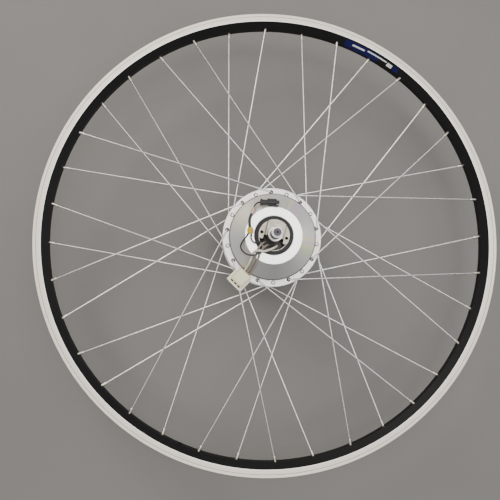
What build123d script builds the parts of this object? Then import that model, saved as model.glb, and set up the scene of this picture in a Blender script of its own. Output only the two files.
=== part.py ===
"""Bicycle hub motor wheel: a planetary-geared hub motor laced into a 622 mm rim.

Frame: +Z runs along the axle towards the cable side, the origin is the wheel's centre.
All sizes are in millimetres. Every piece is one node, written to parts/NODE.step.
"""
from build123d import *
from math import acos, atan2, cos, pi, radians, sin, tan
import os

# ---------------------------------------------------------------- driving sizes
SLIP = 0.02                 # radial gap of a pressed seat
RUN = 0.05                  # radial gap of a running seat

# rim: the bead seat sets the wheel's size, and the rest is measured from it
SEAT_R = 311.0              # bead seat, half of 622
HOOK_H = 6.0                # from the bead seat out to the rim's edge
TRACK_H = 11.0              # brake track, measured in from the rim's edge
SEAT_DEPTH = 12.0           # from the bead seat in to the spoke bed
RIM_HALF_W = 12.25          # half of the width over the brake tracks
BED_HALF_W = 4.0            # flat part of the spoke bed
RIM_WALL = 1.5
WELL_DEPTH = 2.8            # tyre well below the bead seats
WELL_HALF_W = 6.4
RIM_R = SEAT_R + HOOK_H
TRACK_R = RIM_R - TRACK_H
BED_R = SEAT_R - SEAT_DEPTH
VALVE_R = 3.25
VALVE_DEG = 246.0

# lacing
SPOKE_COUNT = 36
SPOKE_R = 1.0
LACE_DEG = 60.0             # a spoke's rim end is this far round from its hub end
FIRST_NIPPLE_DEG = 121.0
NIPPLE_R = 1.95
NIPPLE_HEAD_R = 3.0
NIPPLE_LENGTH = 12.0
NIPPLE_OFFSET = 2.0         # sideways from the rim's mid-plane
KEY_HOLE_R = 4.3            # hole in the tyre well above each nipple
HUB_HOLE_R = SPOKE_R + 0.3
HEAD_R = SPOKE_R + 0.9
ELBOW_R = 2 * SPOKE_R
SINK = 0.9                  # countersink under each elbow

# motor: the stator sets the girth of the can, the shell and the flanges around it
STATOR_R = 43.0
STATOR_BORE_R = 22.0
STATOR_Z = 7.0
STATOR_H = 20.0
CORE_RING_R = 28.0          # ring that carries the teeth
TEETH = 18
TOOTH_W = 5.0
SHOE_T = 2.2
INSULATOR_T = 1.0
WIRE_W = 2.0                # thickness of a coil's side
MAGNET_COUNT = 16
AIR_GAP = 0.6
MAGNET_T = 2.9
CAN_WALL = 2.28
CAN_R = STATOR_R + AIR_GAP + MAGNET_T + SLIP + CAN_WALL
CAN_FLOOR = -3.0
CAN_FLOOR_T = 3.0
CAN_TOP = 30.0
ROTOR_HUB_R = 13.0
SEAT_BORE_R = 15.0
BOARD_T = 1.2
POST_H = 1.4

# hub shell and covers
SHELL_BORE_R = CAN_R + 4.2
DRUM_R = SHELL_BORE_R + 4.0
COVER_R = SHELL_BORE_R + 4.6
HUB_CIRCLE_R = COVER_R + 3.0  # circle of the flange holes
FLANGE_R = HUB_CIRCLE_R + 5.4
FLANGE_TOP = 25.8
FLANGE_T = 3.0
FLANGE_EDGE = 0.5
LAND_R = SHELL_BORE_R - 3.5   # inner radius of the screw land at the far end
LAND_TOP = -18.0            # the ring gear seats on this step
SHELL_END = FLANGE_TOP + 2.2
SPIGOT_T = 3.0              # wall of both covers' spigots
SPIGOT_L = 5.5
COVER_EDGE = SHELL_END + 5.6
COVER_TOP = 48.0
COVER_BREAK = 1.4           # broken edge round both covers
CROWN_T = 5.5               # cover's thickness over the bearing
ORING_R = 0.7
ANNULUS_R = 37.1
LIP_R = 25.2
FAR_BOSS_R = 24.0
FAR_BOSS_END = 50.5
FAR_BORE_R = 12.0
THREAD_R = 17.4             # freewheel thread, 1.375 in x 24
THREAD_END = 64.0
THREAD_EDGE = 1.2
SCREW_R = 2.0
SCREW_L = 12.0
SCREW_COUNT = 6
SCREW_CIRCLE_R = COVER_R - 4.2

# axle and side plate
AXLE_SHOULDER = 66.5        # dropout faces, half of the width between them
AXLE_TIP_L = 20.9           # threaded end beyond a dropout face
AXLE_TIP_R = 7.0            # M14 thread
AXLE_END = AXLE_SHOULDER + AXLE_TIP_L
THREAD_RELIEF = 0.25        # depth of the groove where a thread runs out
AXLE_COLLAR_R = 9.75
AXLE_COLLAR_START = 24.0
AXLE_R = 6.0                # slim part, from the motor to the far end
FLAT_HALF_W = 5.0           # flats for the far dropout, 10 mm across
FLAT_LENGTH = 12.0
PLATE_R = STATOR_R - 3.0
PLATE_Z = 34.0
PLATE_T = 4.0
BOSS_R = 20.0
BOSS_TOP = 55.0
SEGMENT_TOP = 52.0
SLAB_HALF_W = 11.5
BOSS_TURN = -14.5           # the plate's hole line from +X
TORQUE_HOLE_X = 16.4
TORQUE_HOLE_R = 2.1
TORQUE_HOLE_DEPTH = 10.0
CAVITY_R = 19.2
WELL_TOP = 46.5             # low wall where the wires leave
GROMMET_T = 2.5

# gears
MODULE = 1.0
SUN_TEETH = 20
PLANET_TEETH = 34
RING_TEETH = 88
PLANETS = 3
GEAR_W = 12.0
PRESSURE = radians(20)
BACKLASH = 0.1
PIN_R = 4.0
BUSH_R = 6.0
CARRIER_T = 6.0
CLUTCH_R = 14.0
ROLLER_R = 1.5

# bearings: bore radius, outer radius, width, ball diameter, balls
NEAR_BEARING = (20.0, 26.0, 7.0, 3.97, 24)
FAR_BEARING = (6.0, 16.0, 10.0, 5.95, 8)
ROTOR_BEARING = (6.0, 10.5, 5.0, 2.38, 14)
NEAR_BEARING_Z = 39.5
FAR_BEARING_Z = -49.5
ROTOR_BEARING_Z = (-2.0, 9.0)

GEAR_Z = LAND_TOP
CENTRE_R = MODULE * (SUN_TEETH + PLANET_TEETH) / 2
CONE_SLOPE = (COVER_TOP - COVER_EDGE) / (COVER_R - COVER_BREAK - ANNULUS_R)
UPRIGHT = (Align.CENTER, Align.CENTER, Align.MIN)
nodes = {}


# ---------------------------------------------------------------- helpers
def group(solids):
    """Separate solids kept together as one node."""
    flat = []
    for item in solids:
        flat.extend(item.solids())
    return Compound(children=flat)


def tube(outer, inner, z_low, height):
    ring = Cylinder(outer, height, align=UPRIGHT)
    if inner:
        ring -= Cylinder(inner, height, align=UPRIGHT)
    return Pos(0, 0, z_low) * ring


def lathe(points):
    """Turn a closed (radius, height) outline about the axle."""
    outline = Polyline([(r, 0, z) for r, z in points], close=True)
    return revolve(make_face(outline), Axis.Z)


def polar(r, angle, z=0.0):
    return Vector(r * cos(radians(angle)), r * sin(radians(angle)), z)


def spread(solid, count, start=0.0):
    return [Rot(0, 0, start + 360 / count * i) * solid for i in range(count)]


def along(origin, direction):
    """Location at origin whose Z axis looks along direction."""
    return Plane(origin=origin, z_dir=direction).location


def sector(half_angle):
    """Flat wedge about +X, wide enough for any of the motor's rings."""
    reach = 2 * CAN_R
    rise = reach * tan(half_angle)
    return Polygon((0, 0), (reach, -rise), (reach, rise), align=None)


def rounded_box(length, width, height, radius):
    brick = Box(length, width, height, align=UPRIGHT)
    return fillet(brick.edges().filter_by(Axis.Z), radius)


# ---------------------------------------------------------------- rim
def rim_outline(inset):
    """Half outline of the rim, (radius, height) from the bed outwards."""
    shelf = WELL_HALF_W + 1.8
    return [(BED_R, 0), (BED_R, BED_HALF_W), (TRACK_R, RIM_HALF_W), (RIM_R - 0.6, RIM_HALF_W),
            (RIM_R, RIM_HALF_W - 0.6), (RIM_R - 0.4, RIM_HALF_W - 1.6),
            (RIM_R - 1.6, RIM_HALF_W - 2.3), (RIM_R - 2.8, RIM_HALF_W - RIM_WALL),
            (SEAT_R, RIM_HALF_W - RIM_WALL), (SEAT_R, shelf), (SEAT_R - inset, WELL_HALF_W),
            (SEAT_R - inset, 0)]


def chamber_outline(inset):
    """Half outline of the hollow between the bed and the tyre well."""
    shelf = WELL_HALF_W + 0.6
    return [(BED_R + RIM_WALL, 0), (BED_R + RIM_WALL, BED_HALF_W - 0.6),
            (TRACK_R + 0.4, RIM_HALF_W - RIM_WALL), (SEAT_R - RIM_WALL, RIM_HALF_W - RIM_WALL),
            (SEAT_R - RIM_WALL, shelf + 1.8), (SEAT_R - inset - RIM_WALL, shelf),
            (SEAT_R - inset - RIM_WALL, 0)]


def mirrored(half):
    return half + [(r, -z) for r, z in reversed(half) if z > 0]


def spoke_line(side, outer, rim_deg):
    """Elbow and rim points of a spoke; side is +1 near, -1 far."""
    turn = LACE_DEG if outer else -LACE_DEG
    reach = FLANGE_TOP + SPOKE_R if outer else FLANGE_TOP - FLANGE_T - SPOKE_R
    elbow = polar(HUB_CIRCLE_R, rim_deg - turn, side * reach)
    seat = polar(BED_R + RIM_WALL, rim_deg, side * NIPPLE_OFFSET)
    return elbow, seat


def spoke_families():
    """Name, side, outer and first rim angle of the four sets of spokes."""
    step = 360 / SPOKE_COUNT
    return [("near_outer", 1, True, FIRST_NIPPLE_DEG - step),
            ("near_inner", 1, False, FIRST_NIPPLE_DEG - 3 * step),
            ("far_outer", -1, True, FIRST_NIPPLE_DEG),
            ("far_inner", -1, False, FIRST_NIPPLE_DEG - 2 * step)]


def make_spoke(side, outer, rim_deg):
    elbow, seat = spoke_line(side, outer, rim_deg)
    way = (seat - elbow).normalized()
    head_side = -1 if outer else 1
    face = FLANGE_TOP if not outer else FLANGE_TOP - FLANGE_T
    head_z = side * (face + head_side * 0.05)
    root = Vector(elbow.X, elbow.Y, head_z)
    path = FilletPolyline(root, elbow, seat + way * 1.0, radius=ELBOW_R)
    shank = sweep(Plane(origin=root, z_dir=elbow - root) * Circle(SPOKE_R), path=path)
    out = Vector(0, 0, side * head_side)
    profile = Polyline([(0, 0, 0), (HEAD_R, 0, 0), (HEAD_R, 0, 0.5), (HEAD_R - 0.6, 0, 1.1), (0, 0, 1.3)],
                       close=True)
    head = along(root, out) * revolve(make_face(profile), Axis.Z)
    return shank + head


def make_nipple(side, outer, rim_deg):
    elbow, seat = spoke_line(side, outer, rim_deg)
    bore = SPOKE_R + RUN
    body = 0.75 * NIPPLE_LENGTH
    profile = [(bore, -body), (NIPPLE_R - 0.35, -body), (NIPPLE_R, -body + 0.8), (NIPPLE_R, 0.25),
               (NIPPLE_HEAD_R, 1.2), (NIPPLE_HEAD_R - 0.2, 1.9), (NIPPLE_R - 0.15, NIPPLE_LENGTH - body),
               (bore, NIPPLE_LENGTH - body)]
    outline = Polyline([(r, 0, z) for r, z in profile], close=True)
    return along(seat, seat - elbow) * revolve(make_face(outline), Axis.Z)


def make_rim():
    rim = lathe(mirrored(rim_outline(WELL_DEPTH))) - lathe(mirrored(chamber_outline(WELL_DEPTH)))
    cuts = []
    for name, side, outer, first in spoke_families():
        for i in range(SPOKE_COUNT // 4):
            rim_deg = first + 40 * i
            elbow, seat = spoke_line(side, outer, rim_deg)
            drill = Cylinder(NIPPLE_R + 0.4, 8)
            cuts.append(along(seat, seat - elbow) * drill)
            key = Cylinder(KEY_HOLE_R, SEAT_DEPTH, align=UPRIGHT)
            middle = polar(BED_R + SEAT_DEPTH / 2, rim_deg, side * NIPPLE_OFFSET)
            cuts.append(along(middle, polar(1, rim_deg)) * key)
    valve = Cylinder(VALVE_R, 3 * SEAT_DEPTH)
    cuts.append(along(polar(BED_R + SEAT_DEPTH, VALVE_DEG), polar(1, VALVE_DEG)) * valve)
    return rim - cuts


def build_wheel():
    nodes["rim"] = make_rim()
    nipples = {1: [], -1: []}
    for name, side, outer, first in spoke_families():
        count = SPOKE_COUNT // 4
        nodes["spokes_" + name] = group(spread(make_spoke(side, outer, first), count))
        nipples[side] += spread(make_nipple(side, outer, first), count)
    nodes["nipples_near"] = group(nipples[1])
    nodes["nipples_far"] = group(nipples[-1])


# ---------------------------------------------------------------- hub shell and covers
def build_hub():
    low = FLANGE_TOP - FLANGE_T
    edge = FLANGE_R - FLANGE_EDGE
    flange = [(DRUM_R, low), (edge, low), (FLANGE_R, low + FLANGE_EDGE),
              (FLANGE_R, FLANGE_TOP - FLANGE_EDGE), (edge, FLANGE_TOP), (COVER_R, FLANGE_TOP),
              (COVER_R, SHELL_END)]
    far_flange = [(r, -z) for r, z in reversed(flange)]
    bore = [(SHELL_BORE_R, SHELL_END), (SHELL_BORE_R, LAND_TOP), (LAND_R, LAND_TOP), (LAND_R, -SHELL_END)]
    shell = lathe(bore + far_flange + flange)
    cuts = []
    for name, side, outer, first in spoke_families():
        elbow, seat = spoke_line(side, outer, first)
        way = (seat - elbow).normalized()
        middle = Pos(elbow.X, elbow.Y, side * (FLANGE_TOP - FLANGE_T / 2))
        cuts += spread(middle * Cylinder(HUB_HOLE_R, 2 * FLANGE_T), SPOKE_COUNT // 4)
        sink = Cone(HUB_HOLE_R, HUB_HOLE_R + SINK, SINK, align=UPRIGHT)
        face = FLANGE_TOP - SINK if outer else low + SINK
        place = along(Vector(elbow.X, elbow.Y, side * face), Vector(0, 0, side if outer else -side))
        cuts += spread(place * sink, SPOKE_COUNT // 4)
        if outer:
            trough = Cylinder(HUB_HOLE_R, 20, align=UPRIGHT)
            cuts += spread(along(elbow, way) * trough, SPOKE_COUNT // 4)
    screw_hole = Pos(SCREW_CIRCLE_R, 0, -SHELL_END) * Cylinder(SCREW_R - 0.3, 1.5 * SCREW_L)
    cuts += spread(screw_hole, SCREW_COUNT, 30)
    nodes["hub_shell"] = shell - cuts

    spigot = SHELL_BORE_R - SLIP
    race = NEAR_BEARING[1] + SLIP
    top = NEAR_BEARING_Z + NEAR_BEARING[2]
    pocket_z = NEAR_BEARING_Z - 1.0
    groove_z = SHELL_END - 3.0
    groove_h = ORING_R + 0.2
    groove_floor = spigot - 2 * ORING_R - 0.1
    start = SHELL_END - SPIGOT_L
    nodes["near_cover"] = lathe([
        (spigot - SPIGOT_T, start), (spigot, start), (spigot, groove_z - groove_h),
        (groove_floor, groove_z - groove_h), (groove_floor, groove_z + groove_h),
        (spigot, groove_z + groove_h), (spigot, SHELL_END), (COVER_R, SHELL_END),
        (COVER_R, COVER_EDGE - COVER_BREAK), (COVER_R - COVER_BREAK, COVER_EDGE), (ANNULUS_R, COVER_TOP),
        (LIP_R + 0.8, COVER_TOP), (LIP_R, COVER_TOP - 0.8), (LIP_R, top), (race, top), (race, pocket_z),
        (race + 4, pocket_z), (race + 4, COVER_TOP - CROWN_T), (ANNULUS_R - 3, COVER_TOP - CROWN_T),
        (spigot - SPIGOT_T, COVER_EDGE - SPIGOT_T)])
    nodes["cover_o_ring"] = Pos(0, 0, groove_z) * Torus(spigot - ORING_R - 0.05, ORING_R)

    seal_r = LIP_R - SLIP
    foot = top + RUN
    web = foot + 0.45
    rib = web + 0.4
    outline = [(BOSS_R + 0.3, foot), (seal_r, foot), (seal_r, web + 0.5), (seal_r - 0.5, web + 0.5)]
    for r in (seal_r - 1.4, seal_r - 2.6, seal_r - 3.8):
        outline += [(r + 0.45, web), (r + 0.2, rib), (r - 0.2, rib), (r - 0.45, web)]
    nodes["axle_dust_seal"] = lathe(outline + [(BOSS_R + 0.3, web)])
    build_far_cover()


def build_far_cover():
    """Cover with the freewheel boss, held by six countersunk screws."""
    edge = -COVER_EDGE
    spigot = LAND_R - SLIP
    race = FAR_BEARING[1] + SLIP
    pocket_top = FAR_BEARING_Z + FAR_BEARING[2] + 1
    step = -FAR_BOSS_END - 2
    root = THREAD_R - THREAD_EDGE
    cover = lathe([
        (spigot - SPIGOT_T, 4 - SHELL_END), (spigot, 4 - SHELL_END), (spigot, -SHELL_END),
        (COVER_R, -SHELL_END), (COVER_R, edge + COVER_BREAK), (COVER_R - COVER_BREAK, edge),
        (SCREW_CIRCLE_R - 6.4, edge), (FAR_BOSS_R + 4, -42.0), (FAR_BOSS_R, -44.0), (FAR_BOSS_R, step + 1),
        (FAR_BOSS_R - 1, step), (root, step), (root, step - 2), (THREAD_R, step - 2 - THREAD_EDGE),
        (THREAD_R, -THREAD_END + THREAD_EDGE), (root, -THREAD_END), (FAR_BORE_R, -THREAD_END),
        (FAR_BORE_R, FAR_BEARING_Z), (race, FAR_BEARING_Z), (race, pocket_top), (race + 4, pocket_top),
        (FAR_BOSS_R + 2, -37.5), (spigot - SPIGOT_T, -SHELL_END - 2.5)])
    seat = Pos(SCREW_CIRCLE_R, 0, edge)
    loose = SCREW_R + 0.1
    sink = Pos(0, 0, -0.1) * Cone(loose + SCREW_R + 0.1, loose, loose + 0.1, align=UPRIGHT)
    drill = Cylinder(loose, SCREW_L / 2, align=UPRIGHT)
    cover -= spread(seat * sink, SCREW_COUNT, 30) + spread(seat * drill, SCREW_COUNT, 30)
    nodes["far_cover"] = cover

    head = Cone(2 * SCREW_R, SCREW_R, SCREW_R, align=UPRIGHT)
    shank = Cylinder(SCREW_R - 0.35, SCREW_L, align=UPRIGHT)
    hexagon = extrude(RegularPolygon(1.3, 6), 1.2)
    nodes["far_cover_screws"] = group(spread(seat * (head + shank - hexagon), SCREW_COUNT, 30))


# ---------------------------------------------------------------- bearings
def bearing_parts(bearing, z_low):
    """Inner race, outer race, balls with their cage, and two seals."""
    bore, outer, width, ball, count = bearing
    pitch = (bore + outer) / 2
    mid = z_low + width / 2
    edge = 0.3
    land_in = pitch - 0.32 * ball
    land_out = pitch + 0.32 * ball
    track = Pos(0, 0, mid) * Torus(pitch, 0.52 * ball)
    inner = lathe([(bore, z_low + edge), (bore + edge, z_low), (land_in, z_low), (land_in, z_low + width),
                   (bore + edge, z_low + width), (bore, z_low + width - edge)]) - track
    outside = lathe([(outer, z_low + edge), (outer - edge, z_low), (land_out, z_low),
                     (land_out, z_low + width), (outer - edge, z_low + width),
                     (outer, z_low + width - edge)]) - track
    cage = tube(pitch + 0.16 * ball, pitch - 0.16 * ball, mid - 0.65 * ball, 1.3 * ball)
    pocket = Pos(pitch, 0, mid) * Rot(0, 90, 0) * Cylinder(0.52 * ball, ball)
    cage -= spread(pocket, count)
    balls = spread(Pos(pitch, 0, mid) * Sphere(ball / 2), count)
    seal_t = 0.4
    gap = 0.12
    seals = [tube(land_out - SLIP, land_in + gap, z_low + 0.15, seal_t),
             tube(land_out - SLIP, land_in + gap, z_low + width - 0.15 - seal_t, seal_t)]
    return inner, outside, balls + [cage], seals


def build_bearings():
    hub_bearings = (("near", NEAR_BEARING, NEAR_BEARING_Z), ("far", FAR_BEARING, FAR_BEARING_Z))
    for name, bearing, z_low in hub_bearings:
        inner, outside, balls, seals = bearing_parts(bearing, z_low)
        nodes[name + "_bearing_inner_race"] = inner
        nodes[name + "_bearing_outer_race"] = outside
        nodes[name + "_bearing_balls_and_cage"] = group(balls)
        nodes[name + "_bearing_seals"] = group(seals)
    sets = [bearing_parts(ROTOR_BEARING, z_low) for z_low in ROTOR_BEARING_Z]
    nodes["rotor_bearing_inner_races"] = group([s[0] for s in sets])
    nodes["rotor_bearing_outer_races"] = group([s[1] for s in sets])
    low_z = ROTOR_BEARING_Z[0] + ROTOR_BEARING[2]
    high_z = ROTOR_BEARING_Z[1] + ROTOR_BEARING[2]
    nodes["rotor_spacers"] = group([tube(7.2, AXLE_R + SLIP, low_z, ROTOR_BEARING_Z[1] - low_z),
                                    tube(7.2, AXLE_R + SLIP, high_z, AXLE_COLLAR_START - high_z)])
    nodes["rotor_bearing_balls_and_cages"] = group(sets[0][2] + sets[1][2])


# ---------------------------------------------------------------- axle and side plate
def in_boss(shape):
    """Turn a shape drawn along the plate's hole line into the wheel's frame."""
    return Rot(0, 0, BOSS_TURN) * shape


def block(x_low, x_high, y_low, y_high, z_low, z_high):
    size = Box(x_high - x_low, y_high - y_low, z_high - z_low, align=(Align.MIN,) * 3)
    return Pos(x_low, y_low, z_low) * size


def cavity(radius, side_gap, z_low, z_high):
    """The open well beside the axle that the wires climb out of."""
    wide = block(-30, 30, -30, -8.0 - side_gap, z_low, z_high)
    tall = block(-13.2 + side_gap, 13.2 - side_gap, -30, -2.5 - side_gap, z_low, z_high)
    return (wide + tall) & tube(radius, 0, z_low, z_high - z_low)


def build_axle():
    flats_end = -AXLE_SHOULDER - FLAT_LENGTH
    far_root = AXLE_R - THREAD_RELIEF
    near_root = AXLE_TIP_R - THREAD_RELIEF
    axle = lathe([(0, -AXLE_END), (AXLE_R - 1.2, -AXLE_END), (AXLE_R, -AXLE_END + 1.2),
                  (AXLE_R, flats_end - 1.5), (far_root, flats_end - 1.3), (far_root, flats_end),
                  (AXLE_R, flats_end + 0.2), (AXLE_R, AXLE_COLLAR_START),
                  (AXLE_COLLAR_R, AXLE_COLLAR_START), (AXLE_COLLAR_R, AXLE_SHOULDER - 0.7),
                  (AXLE_COLLAR_R - 0.7, AXLE_SHOULDER),
                  (AXLE_TIP_R + 0.1, AXLE_SHOULDER), (near_root, AXLE_SHOULDER + 0.3),
                  (near_root, AXLE_SHOULDER + 1.5), (AXLE_TIP_R, AXLE_SHOULDER + 2.2),
                  (AXLE_TIP_R, AXLE_END - 2.1), (4.9, AXLE_END), (1.2, AXLE_END), (0, AXLE_END - 1.0)])
    beside = block(-30, 30, FLAT_HALF_W, 30, -AXLE_SHOULDER - FLAT_LENGTH, -AXLE_SHOULDER)
    axle = axle - spread(beside, 2)
    nodes["axle"] = axle
    nodes["axle_spacer"] = tube(AXLE_COLLAR_R, AXLE_R + RUN, -AXLE_SHOULDER, AXLE_SHOULDER + FAR_BEARING_Z)

    bore = AXLE_COLLAR_R + SLIP
    seat_r = STATOR_BORE_R - SLIP
    shoulder_z = STATOR_Z + STATOR_H + INSULATOR_T + 0.1
    plate = tube(PLATE_R, bore, PLATE_Z, PLATE_T)
    plate += tube(seat_r, SEAT_BORE_R, STATOR_Z, PLATE_Z - STATOR_Z)
    plate += tube(seat_r + 3.5, SEAT_BORE_R, shoulder_z, PLATE_Z - shoulder_z)
    plate += tube(BOSS_R + 1.5, bore, PLATE_Z + PLATE_T, NEAR_BEARING_Z - PLATE_Z - PLATE_T)
    plate += tube(BOSS_R - SLIP, bore, NEAR_BEARING_Z, SEGMENT_TOP - NEAR_BEARING_Z)
    slab = block(-SLAB_HALF_W, SLAB_HALF_W, -30, 30, SEGMENT_TOP, BOSS_TOP)
    plate += in_boss(slab) & tube(BOSS_R - SLIP, bore, SEGMENT_TOP, BOSS_TOP - SEGMENT_TOP)
    plate -= in_boss(cavity(CAVITY_R, 0, PLATE_Z - 6, BOSS_TOP + 1))
    plate -= in_boss(block(-30, 30, -30, -8.0, WELL_TOP, BOSS_TOP + 1))
    plate -= in_boss(block(-8, 8, -26, -10, shoulder_z - 1, PLATE_Z))
    for side in (-1, 1):
        tapped = Pos(side * TORQUE_HOLE_X, 0, SEGMENT_TOP - TORQUE_HOLE_DEPTH)
        drill = Cylinder(TORQUE_HOLE_R, TORQUE_HOLE_DEPTH + 1, align=UPRIGHT)
        plate -= in_boss(tapped * drill)
    post = Pos(PLATE_R - 4, 0, PLATE_Z - POST_H) * Cylinder(2, POST_H, align=UPRIGHT)
    nodes["side_plate"] = plate + spread(post, 3, 40)
    grommet = in_boss(cavity(CAVITY_R - 0.05, 0.05, PLATE_Z, PLATE_Z + GROMMET_T))
    nodes["cable_grommet"] = grommet - tube(AXLE_COLLAR_R + 0.05, 0, PLATE_Z, GROMMET_T)


# ---------------------------------------------------------------- motor
def stator_face():
    ring = Circle(CORE_RING_R) - Circle(STATOR_BORE_R)
    tooth_start = CORE_RING_R - 2
    tooth_end = STATOR_R - 2
    tooth = Pos((tooth_start + tooth_end) / 2, 0) * Rectangle(tooth_end - tooth_start, TOOTH_W)
    half_tip = 0.8 * pi / TEETH
    shoe = Circle(STATOR_R) - Circle(STATOR_R - SHOE_T)
    piece = tooth + (shoe & sector(half_tip))
    for i in range(TEETH):
        ring += Rot(0, 0, 360 / TEETH * i) * piece
    return ring


def build_motor():
    face = stator_face()
    nodes["stator_core"] = Pos(0, 0, STATOR_Z) * extrude(face, STATOR_H)
    cap = extrude(face, INSULATOR_T)
    nodes["stator_insulators"] = group([Pos(0, 0, STATOR_Z - INSULATOR_T) * cap,
                                        Pos(0, 0, STATOR_Z + STATOR_H) * cap])
    inner_w = TOOTH_W + 0.4
    inner_h = STATOR_H + 2 * INSULATOR_T + 0.4
    coil_start = CORE_RING_R + 2.15
    coil_end = STATOR_R - 3.35
    length = coil_end - coil_start
    coil = Box(length, inner_w + 2 * WIRE_W, inner_h + 2 * WIRE_W) - Box(length, inner_w, inner_h)
    coil = fillet(coil.edges().filter_by(Axis.X).group_by(SortBy.LENGTH)[0], 0.6)
    coil = Pos((coil_start + coil_end) / 2, 0, STATOR_Z + STATOR_H / 2) * coil
    nodes["stator_windings"] = group(spread(coil, TEETH))

    board_z = PLATE_Z - POST_H - BOARD_T
    nodes["sensor_board"] = tube(STATOR_R - 1, STATOR_BORE_R + 8, board_z, BOARD_T)
    sensor = Pos(STATOR_R - 2, 0, board_z - 1.4) * Box(1.6, 4.0, 1.4, align=UPRIGHT)
    nodes["hall_sensors"] = group([Rot(0, 0, a) * sensor for a in (60, 80, 100)])

    magnet_in = STATOR_R + AIR_GAP
    magnet_out = magnet_in + MAGNET_T
    can_in = magnet_out + SLIP
    wall = CAN_TOP - CAN_FLOOR
    seat = ROTOR_BEARING[1] + SLIP
    hub_top = ROTOR_BEARING_Z[1] + ROTOR_BEARING[2]
    can = tube(CAN_R, can_in, CAN_FLOOR, wall) + tube(CAN_R, seat, CAN_FLOOR, CAN_FLOOR_T)
    can += tube(ROTOR_HUB_R, seat, CAN_FLOOR, hub_top - CAN_FLOOR)
    vent = Pos(STATOR_R - 12, 0, CAN_FLOOR) * Cylinder(6.5, 20)
    can = can - spread(vent, 6, 30)
    can += tube(ROTOR_BEARING[1] + 0.2, 9.0, CAN_FLOOR, ROTOR_BEARING_Z[0] - CAN_FLOOR)
    nodes["rotor_can"] = can
    bar = tube(magnet_out, magnet_in, STATOR_Z - 1, STATOR_H + 2)
    magnet = bar & extrude(sector(0.93 * pi / MAGNET_COUNT), STATOR_Z + STATOR_H + 10)
    nodes["rotor_magnets"] = group(spread(magnet, MAGNET_COUNT))


# ---------------------------------------------------------------- gears
def involute(angle):
    return tan(angle) - angle


def gear_face(teeth, tip, root, extra, tooth_deg):
    """Toothed outline; extra widens each tooth at the pitch circle."""
    pitch = MODULE * teeth / 2
    base = pitch * cos(PRESSURE)
    start = max(base, root) + 0.001
    half_pitch = pi / (2 * teeth) + extra / (2 * pitch)

    def half_angle(r):
        return half_pitch + involute(PRESSURE) - involute(acos(base / r))

    middle = (start + tip) / 2
    edges = []
    last = None
    for i in range(teeth):
        centre = radians(tooth_deg) + 2 * pi * i / teeth

        def spot(r, offset):
            return (r * cos(centre + offset), r * sin(centre + offset))

        foot = half_angle(start)
        points = [spot(root, -foot), spot(start, -foot), spot(middle, -half_angle(middle)),
                  spot(tip, -half_angle(tip)), spot(tip, half_angle(tip)), spot(middle, half_angle(middle)),
                  spot(start, foot), spot(root, foot)]
        if last:
            edges.append(Line(last, points[0]))
        else:
            first = points[0]
        if start - root > 0.01:
            edges.append(Line(points[0], points[1]))
            low, high = points[1], points[6]
        else:
            low, high = points[0], points[7]
        edges.append(ThreePointArc(low, points[2], points[3]))
        edges.append(Line(points[3], points[4]))
        edges.append(ThreePointArc(points[4], points[5], high))
        if start - root > 0.01:
            edges.append(Line(points[6], points[7]))
        last = points[7]
    edges.append(Line(last, first))
    return make_face(Wire(edges))


def planet_turn(angle):
    """Tooth phase that puts a planet in mesh with the sun's tooth on +X."""
    return angle + 180 - 180 / PLANET_TEETH + angle * SUN_TEETH / PLANET_TEETH


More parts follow.
